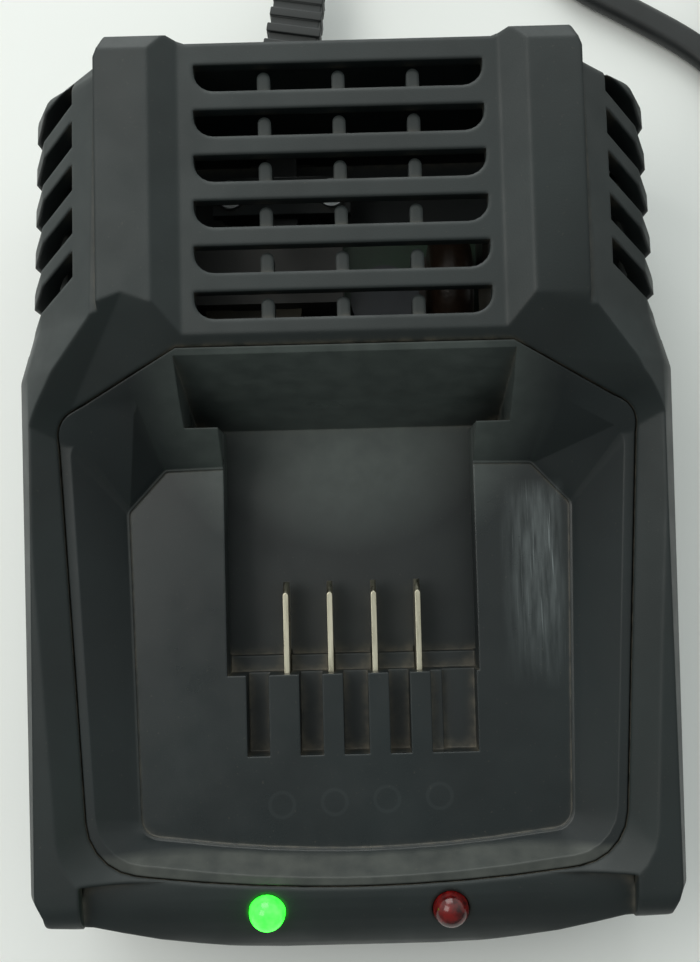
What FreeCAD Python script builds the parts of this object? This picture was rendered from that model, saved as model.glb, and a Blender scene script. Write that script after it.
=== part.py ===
import FreeCAD, Part
import math
import os

# Charger for a slide-on battery pack, with its flat mains lead.
# Millimetres. +Z is up, +Y runs to the rear, where the lead leaves, and +X is to the right.
# The origin lies on the table, in the middle of the footprint.

V = FreeCAD.Vector
os.makedirs("parts", exist_ok=True)

# Overall sizes of the case
bar_depth = 62.4
rail_half_width = 46.2
ridge_top = 47.0
split_height = 14.0
wall = 2.4
foot_height = 2.0
case_front = bar_depth + 1.35
case_rear = case_front - 1.1
rail_end = bar_depth - 5.5
horn_half_width = rail_half_width - 0.8
hump_half_width = rail_half_width - 1.9
hump_corner_width = rail_half_width - 2.8
hump_corner_setback = 4.0
hump_end = 24.0
corner_steps = 5
smallest_round = 0.3
bow_middle = 2.0

# Rear hump with two flat-topped ridges and a slotted panel between them
panel_top = ridge_top - 2.5
panel_half_width = rail_half_width - 24.7
ridge_inner = panel_half_width + 3.5
ridge_outer = ridge_inner + 7.0
ridge_overhang = case_front - case_rear
ridge_fall_start = 27.5
ridge_fall_end = 13.0
shoulder_break = ridge_top - 16.0
shoulder_knee = ridge_top - 9.5
shoulder_knee_inset = 2.6
shoulder_top_inset = 11.1

# Side rails and the rolled front bar
rail_rear_height = ridge_top - 9.0
rail_front_height = ridge_top - 13.4
rail_end_radius = 4.0
bar_half_width = horn_half_width - 7.2
bar_roll_radius = 10.9

# Edge of the docking plate, which is a moulding of its own
dock_rear = 22.0
dock_rear_half = panel_half_width + 0.9
dock_front = bar_depth - 10.5
dock_shoulder = (rail_half_width - 5.9, 13.5)
dock_corner = (horn_half_width - 8.0, dock_front - 3.0)
dock_round = 8.0
seam_gap = 0.25
rim_side_height = ridge_top - 12.4
rim_front_height = ridge_top - 16.0
flank_width = 3.9
flank_rise = 3.0

# Battery bowl, landing pad and slide
pad_height = ridge_top - 20.0
lip_strip = 1.8
lip_rear = dock_rear - 5.0
pad_rear = 7.0
pad_half_width = rail_half_width - 14.2
pad_half_rear = pad_half_width - 5.5
pad_front = dock_front - 4.1
pad_step = 0.35
dock_skirt = 3.0
dock_ledge = 2.4
dock_ledge_width = 1.7
dock_collar = 1.9
dock_screw_bite = 3.0
bay_floor = pad_height - 10.0
bay_half_width = 22.8
bay_front = 12.3
bay_wall = 2.0
ramp_foot = 13.4
channel_half_width = 18.1
channel_front = 22.9
undercut_depth = 2.9
undercut_height = 4.5
undercut_front = 20.5
ledge_depth = 2.3
ledge_height = 2.5

# Spade contacts and the comb in front of them
blade_pitch = 6.45
blade_thickness = 0.8
blade_reach = 13.2
blade_height = 5.4
blade_lift = 1.3
blade_count = 4
blade_grip = 9.0
blade_tab = 3.5
comb_front = channel_front + 11.5
comb_floor = bay_floor + 4.5
comb_grooves = ((-15.4, -12.2), (-7.8, -4.5), (-1.5, 2.1), (5.1, 8.1))
comb_step = (11.1, 12.9, comb_floor + 2.5)
comb_recess = (12.9, 17.7, comb_floor + 1.0)
comb_bridge = 2.4

# Slots of the grille and the ribs below them
slot_count = 6
slot_pitch = 6.13
slot_depth = 3.65
slot_half_width = panel_half_width - 2.2
slot_first = case_rear - 2.95
slot_round = 2.7
slot_widening = 0.08
bar_pitch = 10.0
bar_width = 1.75
bar_drop = 1.1
bar_height = 2.6
bar_setback = 0.8

# Slanted louvres in the shoulders
louvre_count = 5
louvre_pitch = 5.93
louvre_width = 3.6
louvre_first = case_rear - 3.45
louvre_inner = hump_half_width - 8.3
louvre_slant = 0.667
louvre_floor = split_height + 7.0
fin_round = 1.9

# Indicator lamps
lamp_radius = 2.5
lamp_spacing = 25.5
lamp_tilt = 20.0
lamp_length = 5.6
lamp_stand = 2.6
lamp_clearance = 0.12
lamp_flange = 0.4
lamp_flange_thickness = 1.0
lamp_flat = dock_front + 0.3
lamp_leg_spread = 1.27
lamp_leg_radius = 0.25
lamp_board_bottom = 17.2
lamp_board_thickness = 1.2
lamp_board_half = lamp_spacing / 2 + 6.75
lamp_board_width = 7.2
lamp_post = (lamp_spacing / 2 + 4.25, 8.0 - bar_depth)
lamp_stake_radius = 0.9

# Screws and feet
screw_radius = 1.5
screw_head_radius = 2.8
screw_head_height = 1.8
screw_head_top = foot_height + 3.0
rear_screw_tip = 26.0
front_screw_tip = 21.0
boss_radius = 3.7
screw_clearance = 0.06
screw_passage = 0.15
small_screw_radius = 1.0
small_head_radius = 2.2
small_head_height = 1.4
rear_boss = (rail_half_width - 9.6, case_rear - 11.65)
front_boss = (horn_half_width - 12.0, 14.4 - rail_end)
dock_boss = ((rail_half_width - 11.6, 3.0), (rail_half_width - 11.8, -28.0))
foot_radius = 5.0
vent_count = 9
vent_pitch = 5.0
vent_width = 2.2
vent_half_length = 18.0
foot_recess = 0.8
foot_place = ((rail_half_width - 9.2, 38.0), (rail_half_width - 9.2, -31.0))

# Circuit board and what stands on it
board_bottom = 8.2
board_thickness = 1.6
board_top = board_bottom + board_thickness
board_half_width = rail_half_width - 11.7
board_rear = 44.0
board_front = bar_depth - 16.4
board_boss = ((board_half_width - 3.9, board_rear - 9.0), (board_half_width - 4.5, 12.0 - board_front))
board_post_radius = 3.0
lead_clearance = 0.1
lead_slip = 0.02

# Transformer on the board, below the grille
trafo_x = -13.0
trafo_y = board_rear - 10.2
trafo_width = 26.0
trafo_length = 20.0
trafo_height = 21.0
trafo_base = 2.9
core_thickness = 8.5
core_leg = 6.0
core_yoke = 4.0
winding_length = 15.0
winding_round = 3.2

# Other parts on the board
choke_x = 16.0
choke_y = board_rear - 10.1
choke_ring_radius = 6.0
choke_wire_radius = 3.2
choke_seat_height = 2.4
bulk_can = (6.0, board_rear - 13.0)
bulk_can_radius = 5.0
bulk_can_height = 18.0
small_can_x = -27.2
small_can_rows = (-24.0, -14.0)
small_can_radius = 3.2
small_can_height = 9.0
film_width = 5.8
film_length = 6.8
film_height = 11.0
film_centre = (24.1, board_rear - 4.0)
fuse_radius = 2.6
fuse_length = 12.0
fuse_start = (23.8, dock_rear + 2.4)
sink_thickness = 1.5
sink_height = 4.6
sink_flange = 5.0
sink_rows = (-4.0, 24.0)
power_part_width = 5.0
power_part_length = 10.0
power_part_height = 4.4
transistor_centre = (22.5, 7.0)
rectifier_centre = (22.5, -9.0)
chip_centre = (-1.0, -1.0)
chip_side = 10.0
chip_height = 1.6

# Lead, its sleeve and its clamp
cord_tube = 3.6
flat_cord_width = 4.8
flat_cord_height = 3.2
sleeve_x = -9.6
sleeve_width = 10.4
sleeve_height = 7.4
sleeve_length = 25.5
sleeve_lean = 9.0
sleeve_lift = 8.6
sleeve_rib_pitch = 2.7
sleeve_rib_width = 1.45
sleeve_taper = 0.22
sleeve_core_width = sleeve_width - 2.6
sleeve_core_height = sleeve_height - 2.2
collar_inside = wall + 1.7
collar_outside = 1.2
clamp_y = case_rear - wall - 9.0
clamp_half_length = 11.0
clamp_half_width = 3.0
clamp_thickness = 2.6
clamp_post_spread = 8.0
clamp_post_radius = 2.8
clamp_post_height = 5.6
clamp_screw_radius = 1.04
inner_cord_length = 14.3

# Coil of the put-away lead, its tie and the plug
cord_spacing = 5.4
cord_layer_step = 4.2
coil_radius = 28.8
coil_turns = 3.522
coil_tail = 25.0
coil_centre = (rail_half_width + 58.96, 80.9)
coil_entry_angle = 209.0
coil_steps_per_turn = 4
coil_samples = 200
tie_thickness = 0.6
tie_width = 11.0
tie_angle = 20.0
tie_slack = 0.3
plug_width = 35.0
plug_thickness = 13.4
plug_depth = 26.0
plug_neck = 4.2
plug_neck_height = 3.2
pin_radius = 2.0
pin_length = 19.0
pin_root = 5.0
pin_spacing = 18.6
pin_toe_in = 0.3

skirt_bottom = pad_height - dock_skirt
blade_bottom = bay_floor + blade_lift
floor_top = foot_height + wall


def box(x0, x1, y0, y1, z0, z1):
    return Part.makeBox(x1 - x0, y1 - y0, z1 - z0, V(x0, y0, z0))


def rod(x, y, radius, z0, z1):
    return Part.makeCylinder(radius, z1 - z0, V(x, y, z0))


def both_sides(shape):
    return shape.fuse(shape.mirror(V(0, 0, 0), V(1, 0, 0)))


def joined(shapes):
    whole = shapes[0]
    if len(shapes) > 1:
        whole = whole.fuse(shapes[1:])
    return whole.removeSplitter()


def save(name, shape):
    shape.exportStep("parts/" + name + ".step")
    print(name, "solids", len(shape.Solids), "valid", shape.isValid(), "volume", round(shape.Volume, 1))


def round_corner(before, corner, after, radius, steps):
    """Points of the arc that rounds a corner of a plan outline."""
    a = V(before[0] - corner[0], before[1] - corner[1], 0).normalize()
    b = V(after[0] - corner[0], after[1] - corner[1], 0).normalize()
    half = a.getAngle(b) / 2
    reach = radius / math.tan(half)
    start = V(corner[0], corner[1], 0) + a * reach
    centre = V(corner[0], corner[1], 0) + (a + b).normalize() * (radius / math.sin(half))
    spoke = start - centre
    turn = math.pi - 2 * half
    if a.cross(b).z > 0:
        turn = -turn
    points = []
    for k in range(steps + 1):
        angle = turn * k / steps
        x = centre.x + spoke.x * math.cos(angle) - spoke.y * math.sin(angle)
        y = centre.y + spoke.x * math.sin(angle) + spoke.y * math.cos(angle)
        points.append((x, y))
    return points


def drawn_in(points, distance):
    """A clockwise outline drawn in by a distance, corner for corner."""
    result = []
    for k, (x, y) in enumerate(points):
        x0, y0 = points[k - 1]
        x1, y1 = points[(k + 1) % len(points)]
        a = V(x - x0, y - y0, 0).normalize()
        b = V(x1 - x, y1 - y, 0).normalize()
        inward = V(a.y + b.y, -a.x - b.x, 0)
        scale = 2 * distance / inward.dot(inward)
        result.append((x + inward.x * scale, y + inward.y * scale))
    return result


def ring(half_outline, inset=0.0):
    """Closed plan outline from its right half, given rear to front as (x, y, radius), drawn in by inset."""
    left = [(-x, y, r) for x, y, r in reversed(half_outline)]
    rounds = [r for x, y, r in list(half_outline) + left]
    corners = drawn_in([(x, y) for x, y, r in list(half_outline) + left], inset)
    points = []
    for k, corner in enumerate(corners):
        if rounds[k] > 0:
            after = corners[(k + 1) % len(corners)]
            radius = max(rounds[k] - inset, smallest_round)
            points += round_corner(corners[k - 1], corner, after, radius, corner_steps)
        else:
            points.append(corner)
    return points


def bow(half_width, side_y, middle_y, steps=4):
    """Shallow curve across the front, from its right end to just short of the middle."""
    points = []
    for k in range(steps):
        share = 1 - k / steps
        points.append((half_width * share, side_y + (middle_y - side_y) * (1 - share * share), 0))
    points.append((bow_middle, middle_y, 0))
    return points


def wire(points, z):
    corners = [V(x, y, z) for x, y in points]
    return Part.makePolygon(corners + corners[:1])


def prism(points, z0, z1):
    return Part.Face(wire(points, z0)).extrude(V(0, 0, z1 - z0))


def skin(rings):
    """Solid between flat first and last rings, through rings whose points match one to one."""
    faces = [Part.Face(Part.makePolygon(r + r[:1])) for r in (rings[0], rings[-1])]
    for low, high in zip(rings, rings[1:]):
        for k in range(len(low)):
            a, b, c, d = low[k - 1], low[k], high[k], high[k - 1]
            for corners in ((a, b, c), (a, c, d)):
                faces.append(Part.Face(Part.makePolygon(corners + corners[:1])))
    shell = Part.makeShell(faces)
    shell.sewShape()
    solid = Part.Solid(Part.Shell(shell.Faces))
    if solid.Volume < 0:
        solid.reverse()
    return solid


def side_profile(points, x0, x1):
    """Profile in the YZ plane, drawn across the width."""
    corners = [V(x0, y, z) for y, z in points]
    return Part.Face(Part.makePolygon(corners + corners[:1])).extrude(V(x1 - x0, 0, 0))


def level(table, y):
    """Height at y from breakpoints that run front to rear."""
    for (y0, z0), (y1, z1) in zip(table, table[1:]):
        if y <= y1:
            return z0 + (z1 - z0) * (max(y, y0) - y0) / (y1 - y0)
    return table[-1][1]


# Heights along the length
crest_line = (
    (-rail_end, rail_front_height),
    (ridge_fall_end, rail_rear_height),
    (ridge_fall_start, ridge_top),
)
rim_line = (
    (-dock_front, rim_front_height),
    (10.0, rim_side_height),
    (15.1, rim_side_height + 2.6),
    (dock_rear, panel_top),
)


def case_outline(side=0.0, rear=0.0, front_middle=bar_depth, front_side=rail_end, inset=0.0):
    """Plan outline of the case without the ridges. side and rear draw its upper levels in."""
    half = [
        (ridge_outer - 1.0, case_rear - hump_corner_setback * 0.45 - rear, 0),
        (hump_corner_width - side, case_rear - hump_corner_setback - rear, 2.5),
        (hump_half_width - side, hump_end + 2.0, 3.0),
        (rail_half_width - side, hump_end - 4.5, 3.0),
        (horn_half_width - side, -rail_end + 4.6, 2.6),
        (horn_half_width - side * 0.6 - 2.2, -front_side + 0.5, 1.2),
    ]
    return ring(half + bow(bar_half_width - 1.2, -front_side, -front_middle), inset)


def ridge_outline(inset=0.0):
    half = [
        (panel_half_width - 1.0, case_rear, 0),
        (ridge_inner - 1.5, case_rear + ridge_overhang, 0.6),
        (ridge_outer - 1.2, case_rear + ridge_overhang, 1.4),
        (ridge_outer + 0.2, case_rear - 2.5, 0.8),
        (ridge_outer + 0.2, ridge_fall_end, 0),
    ]
    return ring(half, inset)


def flank_cutter(inset):
    """Air above the docking plate: a straight hole, then the flanks that rise to the rails and ridges."""
    reach = 1.7
    low, foot, top = [], [], []
    for (x, y), (u, w) in zip(ring(dock_half()), ring(dock_half(flank_width, 4.6))):
        z = level(rim_line, y) - inset
        rise = flank_rise
        if w > ridge_fall_end:
            rise = level(crest_line, w) - inset - z
        low.append(V(x, y, 0))
        foot.append(V(x, y, z))
        top.append(V(x + (u - x) * reach, y + (w - y) * reach, z + rise * reach))
    ceiling = [V(p.x, p.y, ridge_top + 12.0) for p in top]
    return skin([low, foot, top, ceiling])


def panel_trench(inset):
    """Air above the slotted panel, between the inner slopes of the ridges."""
    low = panel_top - inset
    high = ridge_top + 3.0
    slope = (ridge_inner - panel_half_width) / (ridge_top - panel_top)
    wide = panel_half_width + slope * (high - low)
    section = [V(-panel_half_width, dock_rear, low), V(panel_half_width, dock_rear, low),
               V(wide, dock_rear, high), V(-wide, dock_rear, high)]
    return Part.Face(Part.makePolygon(section + section[:1])).extrude(V(0, case_rear, 0))


def dock_half(outset=0.0, rear_outset=0.0):
    """Right half of the docking plate's edge, which can be drawn out to the rail's crest."""
    shoulder_x, shoulder_y = dock_shoulder
    corner_x, corner_y = dock_corner
    out = outset
    half = [
        (dock_rear_half + rear_outset * 0.65, dock_rear + rear_outset * 1.15, 0),
        (shoulder_x + out, shoulder_y + out * 0.65, 4.0 + out * 0.3),
        (corner_x + out * 0.9, -corner_y - out * 0.9, dock_round + out * 0.3),
    ]
    side = dock_round + 0.6
    return half + bow(corner_x - side, -corner_y - 1.2 - out * 0.95, -dock_front - out)


def case_block(inset):
    """Solid of the whole upper case. inset draws every wall in, for the hollow inside."""
    levels = (
        (split_height - 4.0 * (inset > 0), 0.0, 0.0),
        (shoulder_break, 0.0, 0.0),
        (shoulder_knee, shoulder_knee_inset, 0.3),
        (ridge_top - 1.0, shoulder_top_inset, 0.8),
    )
    rings = []
    for z, side, rear in levels:
        outline = case_outline(side, rear, inset=inset)
        rings.append([V(x, y, z - inset * (z > split_height)) for x, y in outline])
    core = skin(rings)
    bottom = rings[0][0].z
    ridges = prism(ridge_outline(inset), bottom, ridge_top + 2.0)
    block = core.fuse(ridges)
    rear_y = case_rear + ridge_overhang - inset
    rail_y = -rail_end + inset
    top = ridge_top - inset
    rail_profile = [
        (rear_y + 0.5, bottom - 1.0),
        (rear_y + 0.5, top - 3.4),
        (rear_y - 0.4, top - 1.2),
        (rear_y - 2.4, top),
        (ridge_fall_start, top),
        (ridge_fall_end, rail_rear_height - inset),
        (rail_y + rail_end_radius, level(crest_line, rail_y + rail_end_radius) - inset),
    ]
    end_top = level(crest_line, rail_y + rail_end_radius) - inset
    for k in range(1, 6):
        angle = math.radians(90.0 * k / 5)
        rail_profile.append((
            rail_y + rail_end_radius * (1 - math.sin(angle)),
            end_top - rail_end_radius * (1 - math.cos(angle)),
        ))
    rail_profile.append((rail_y, bottom - 1.0))
    envelope = side_profile(rail_profile, -60.0, 60.0)
    bar_start = -dock_front - 0.6
    cleared = box(-bar_half_width, bar_half_width, -80.0, bar_start + 2.0, -1.0, 80.0)
    envelope = envelope.cut(cleared)
    roll_y = -bar_depth + bar_roll_radius
    roll_z = rim_front_height + 0.2 - bar_roll_radius
    bar_profile = [(bar_start + 6.0, bottom - 1.0), (bar_start + 6.0, roll_z + bar_roll_radius - inset)]
    for k in range(0, 11):
        angle = math.radians(90.0 * k / 10)
        radius = bar_roll_radius - inset
        bar_profile.append((roll_y - radius * math.sin(angle), roll_z + radius * math.cos(angle)))
    bar_profile.append((-bar_depth + inset, bottom - 1.0))
    bar = side_profile(bar_profile, -bar_half_width, bar_half_width)
    block = block.common(envelope.fuse(bar))
    return block.cut(flank_cutter(inset)).cut(panel_trench(inset))


def dock_ring(distance=0.0):
    """Docking plate's edge, drawn in by a distance."""
    return ring(dock_half(), distance)


def rim_envelope(drop):
    """Space below the rim of the docking plate, lowered by drop."""
    points = [(-dock_front - 10.0, -20.0), (-dock_front - 10.0, rim_front_height - drop)]
    points += [(y, z - drop) for y, z in rim_line]
    points += [(dock_rear + 10.0, panel_top - drop), (dock_rear + 10.0, -20.0)]
    return side_profile(points, -60.0, 60.0)


def bowl(drop):
    """Battery bowl from the flat pad up to its lip, and the air above it."""
    shoulder_x, shoulder_y = dock_shoulder
    corner_x, corner_y = dock_corner
    lip = ring([
        (dock_rear_half + 0.1, lip_rear, 0),
        (dock_rear_half + 6.0, lip_rear - 0.5, 2.0),
        (shoulder_x - lip_strip, shoulder_y - 3.4, 3.0),
        (corner_x - lip_strip * 0.8, -corner_y + lip_strip * 0.7, dock_round - 1.0),
    ] + bow(corner_x - lip_strip - dock_round, -corner_y + 0.4, -dock_front + lip_strip * 0.75))
    pad = ring(pad_half())
    floor = [V(x, y, pad_height - drop) for x, y in pad]
    edge = [V(x, y, level(rim_line, y) - drop) for x, y in lip]
    ceiling = [V(p.x, p.y, ridge_top + 10.0) for p in edge]
    return skin([floor, edge, ceiling])


def pad_half():
    """Right half of the flat landing pad."""
    return [
        (dock_rear_half - 4.3, pad_rear + 0.2, 0),
        (pad_half_rear, pad_rear, 1.0),
        (pad_half_width + 0.1, 1.0, 1.5),
        (pad_half_width - 1.1, 2.4 - pad_front, 3.0),
    ] + bow(pad_half_width - 6.5, 1.8 - pad_front, -pad_front)


def pad_recess():
    """Shallow step round the landing pad."""
    return prism(ring(pad_half(), 0.3), pad_height - pad_step, pad_height + 1.0)


def slide_space():
    """Air of the slide: drop-in, ramp, channel, undercuts and the ledge below the contacts."""
    ramp = side_profile([
        (bay_front, bay_floor),
        (ramp_foot, bay_floor),
        (dock_rear - 0.7, panel_top + 0.2),
        (dock_rear - 0.7, ridge_top + 5.0),
        (bay_front, ridge_top + 5.0),
    ], -bay_half_width, bay_half_width)
    channel = box(-channel_half_width, channel_half_width, -channel_front, bay_front, bay_floor, 60.0)
    side = channel_half_width + undercut_depth
    undercut = box(-side, side, -undercut_front, bay_front, bay_floor, bay_floor + undercut_height)
    ledge = box(-side - 1.0, side + 1.0, -channel_front - 1.0, -channel_front + ledge_depth,
                bay_floor - 1.0, bay_floor + ledge_height)
    return joined([ramp, channel, undercut]).cut(ledge)


def comb_space():
    """Grooves and the stepped recess in front of the contacts."""
    cuts = []
    for x0, x1 in comb_grooves:
        cuts.append(box(x0, x1, -comb_front, -channel_front + 0.5, comb_floor, 60.0))
    x0, x1, floor = comb_step
    cuts.append(box(x0, x1, -comb_front, -channel_front + 0.5, floor, 60.0))
    x0, x1, floor = comb_recess
    cuts.append(box(x0, x1, -comb_front, -channel_front + 0.5, floor, 60.0))
    return joined(cuts)


def blade_x(k):
    return (k - (blade_count - 1) / 2) * blade_pitch


def blade_slots():
    """Slits through which the contacts reach the slide."""
    room = lead_clearance + blade_thickness / 2
    slits = []
    for k in range(blade_count):
        x = blade_x(k)
        top = blade_bottom + blade_height + 2 * lead_clearance
        slits.append(box(x - room, x + room, -channel_front - blade_grip - 0.2, -channel_front + 3.0,
                         bay_floor - 6.0, top))
    return joined(slits)


def docking_plate():
    edge = dock_ring(seam_gap)
    plug = prism(edge, 0.0, ridge_top).common(rim_envelope(0.0)).cut(bowl(0.0))
    shell = plug.common(box(-60, 60, -80, 80, skirt_bottom, 60))
    hollow = prism(dock_ring(seam_gap + wall), 0.0, ridge_top).common(rim_envelope(wall))
    hollow = hollow.cut(bowl(wall))
    shell = shell.cut(hollow)
    side = channel_half_width + undercut_depth + bay_wall
    tray = box(-side, side, -channel_front - bay_wall, bay_front + bay_wall, bay_floor - bay_wall, 60.0)
    side = bay_half_width + bay_wall
    bay = box(-side, side, bay_front - bay_wall, dock_rear, bay_floor - bay_wall, 60.0)
    comb = box(comb_grooves[0][0] - bay_wall, comb_recess[1] + bay_wall, -comb_front - bay_wall,
               -channel_front, comb_floor - comb_bridge, 60.0)
    solids = [shell, plug.common(tray), plug.common(bay), plug.common(comb)]
    for x, y in dock_boss:
        for sign in (-1, 1):
            solids.append(plug.common(rod(sign * x, y, boss_radius, skirt_bottom, 60.0)))
    plate = joined(solids)
    cuts = [slide_space(), comb_space(), blade_slots(), pad_recess()]
    for x, y in dock_boss:
        for sign in (-1, 1):
            cuts.append(rod(sign * x, y, screw_radius + screw_clearance, skirt_bottom - 1,
                            skirt_bottom + dock_screw_bite + 0.3))
    for shape in cuts:
        plate = plate.cut(shape)
    return plate


def grille_slots():
    """Six slots: the rear edge is straight, the front corners are rounded."""
    cuts = []
    for k in range(slot_count):
        rear = slot_first - k * slot_pitch
        front = rear - slot_depth
        half = slot_half_width + slot_widening * k
        outline = ring([(half, rear, 0), (half, front, slot_round)])
        cuts.append(prism(outline, panel_top - wall - 6.0, panel_top + 6.0))
    return joined(cuts)


def grille_bars():
    """Short ribs across each slot, set lower than the slats, with rounded rear ends."""
    bars = []
    for k in range(slot_count):
        rear = slot_first - k * slot_pitch - bar_setback - bar_width / 2
        front = slot_first - k * slot_pitch - slot_depth - 1.0
        for n in (-1, 0, 1):
            x = n * bar_pitch
            top = panel_top - bar_drop
            low = top - bar_height
            bars.append(box(x - bar_width / 2, x + bar_width / 2, front, rear, low, top))
            bars.append(rod(x, rear, bar_width / 2, low, top))
    return bars


def louvres():
    """Slanted slots in the right shoulder. Each fin's outer end is rounded."""
    cuts = []
    far = rail_half_width + 4.0
    for k in range(louvre_count):
        rear = louvre_first - k * louvre_pitch
        run = far - louvre_inner
        tip_x = hump_half_width - 0.1
        tip_y = rear - louvre_width - (tip_x - louvre_inner) * louvre_slant
        outline = [(louvre_inner, rear), (far, rear - run * louvre_slant)]
        outline.append((far, tip_y - fin_round * 1.6))
        outline.append((tip_x + 0.6, tip_y - fin_round * 1.6))
        arc = round_corner((louvre_inner, rear - louvre_width), (tip_x, tip_y),
                           (tip_x + 0.3, tip_y - 8.0), fin_round, 4)
        outline += list(reversed(arc))
        outline.append((louvre_inner, rear - louvre_width))
        cuts.append(prism(outline, louvre_floor, ridge_top + 4.0))
    return joined(cuts)


def upper_housing():
    outer = case_block(0.0)
    shell = outer.cut(case_block(wall))
    around = dock_ring(-dock_collar)
    parts = [shell, outer.common(prism(around, skirt_bottom - dock_ledge, ridge_top))]
    ledge = prism(around, skirt_bottom - dock_ledge, skirt_bottom)
    parts.append(ledge.cut(prism(dock_ring(dock_ledge_width), 0.0, ridge_top)))
    for sign in (-1, 1):
        parts.append(outer.common(rod(sign * rear_boss[0], rear_boss[1], boss_radius, split_height, 60.0)))
        parts.append(rod(sign * front_boss[0], front_boss[1], boss_radius, split_height, skirt_bottom))
        for x, y in dock_boss:
            parts.append(rod(sign * x, y, boss_radius + 0.6, skirt_bottom - dock_ledge, skirt_bottom))
    case = joined(parts)
    bay_room = bay_half_width + bay_wall + 0.4
    cuts = [grille_slots(), both_sides(louvres()),
            box(-bay_room, bay_room, bay_front - bay_wall, dock_rear, 0.0, skirt_bottom)]
    bite = screw_radius + screw_clearance
    for sign in (-1, 1):
        cuts.append(rod(sign * rear_boss[0], rear_boss[1], bite, 0.0, rear_screw_tip + 1.0))
        cuts.append(rod(sign * front_boss[0], front_boss[1], bite, 0.0, front_screw_tip + 1.0))
        for x, y in dock_boss:
            cuts.append(rod(sign * x, y, screw_radius + screw_passage, 10.0, skirt_bottom + 1.0))
        cuts.append(lamp_hole(sign))
    for shape in cuts:
        case = case.cut(shape)
    return case.fuse(grille_bars()).removeSplitter()


# Where the lamps leave the front bar, square to its roll
lamp_angle = math.radians(lamp_tilt)
lamp_axis = V(0, -math.sin(lamp_angle), math.cos(lamp_angle))
roll_centre = V(0, -bar_depth + bar_roll_radius, rim_front_height + 0.2 - bar_roll_radius)


def lamp_base(sign):
    seat = roll_centre + lamp_axis * (bar_roll_radius + lamp_stand - lamp_length)
    return V(sign * lamp_spacing / 2, seat.y, seat.z)


def lamp_hole(sign):
    """Hole for the lamp's barrel, with a wider pocket below for its flange and room for its legs."""
    base = lamp_base(sign)
    hole = Part.makeCylinder(lamp_radius + lamp_clearance, 30.0, base - lamp_axis * 0.5, lamp_axis)
    pocket = Part.makeCylinder(lamp_radius + lamp_flange + 0.2, 9.0, base - lamp_axis * 8.95, lamp_axis)
    pocket = pocket.common(box(-60, 60, -80, -lamp_flat + 0.15, 0, 60))
    x = base.x
    y = base.y + 0.2
    room = box(x - lamp_leg_spread - 0.8, x + lamp_leg_spread + 0.8, y - 1.6, y + 1.0, 20.0, base.z)
    return joined([hole, pocket, room])


def lamp(sign):
    """Five millimetre lamp: flange with its flat, barrel, round dome and two legs."""
    base = lamp_base(sign)
    barrel = Part.makeCylinder(lamp_radius, lamp_length - lamp_radius, base, lamp_axis)
    dome = Part.makeSphere(lamp_radius, base + lamp_axis * (lamp_length - lamp_radius))
    flange = Part.makeCylinder(lamp_radius + lamp_flange, lamp_flange_thickness,
                               base - lamp_axis * lamp_flange_thickness, lamp_axis)
    flange = flange.common(box(-60, 60, -80, -lamp_flat, 0, 60))
    legs = []
    for side in (-1, 1):
        x = base.x + side * lamp_leg_spread
        legs.append(rod(x, base.y + 0.2, lamp_leg_radius, lamp_board_bottom - 0.4, base.z - 0.5))
    return joined([barrel, dome, flange] + legs)


def lamp_board():
    """Narrow board that both lamps stand on, held by two stakes of the base."""
    x, y = lamp_post
    half = lamp_board_width / 2
    board = box(-lamp_board_half, lamp_board_half, y - half, y + half,
                lamp_board_bottom, lamp_board_bottom + lamp_board_thickness)
    for sign in (-1, 1):
        board = board.cut(rod(sign * x, y, lamp_stake_radius + lead_clearance, 0, 60))
        base = lamp_base(sign)
        for side in (-1, 1):
            leg_x = base.x + side * lamp_leg_spread
            board = board.cut(rod(leg_x, base.y + 0.2, lamp_leg_radius + 0.07, 0, 60))
    return board


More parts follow.
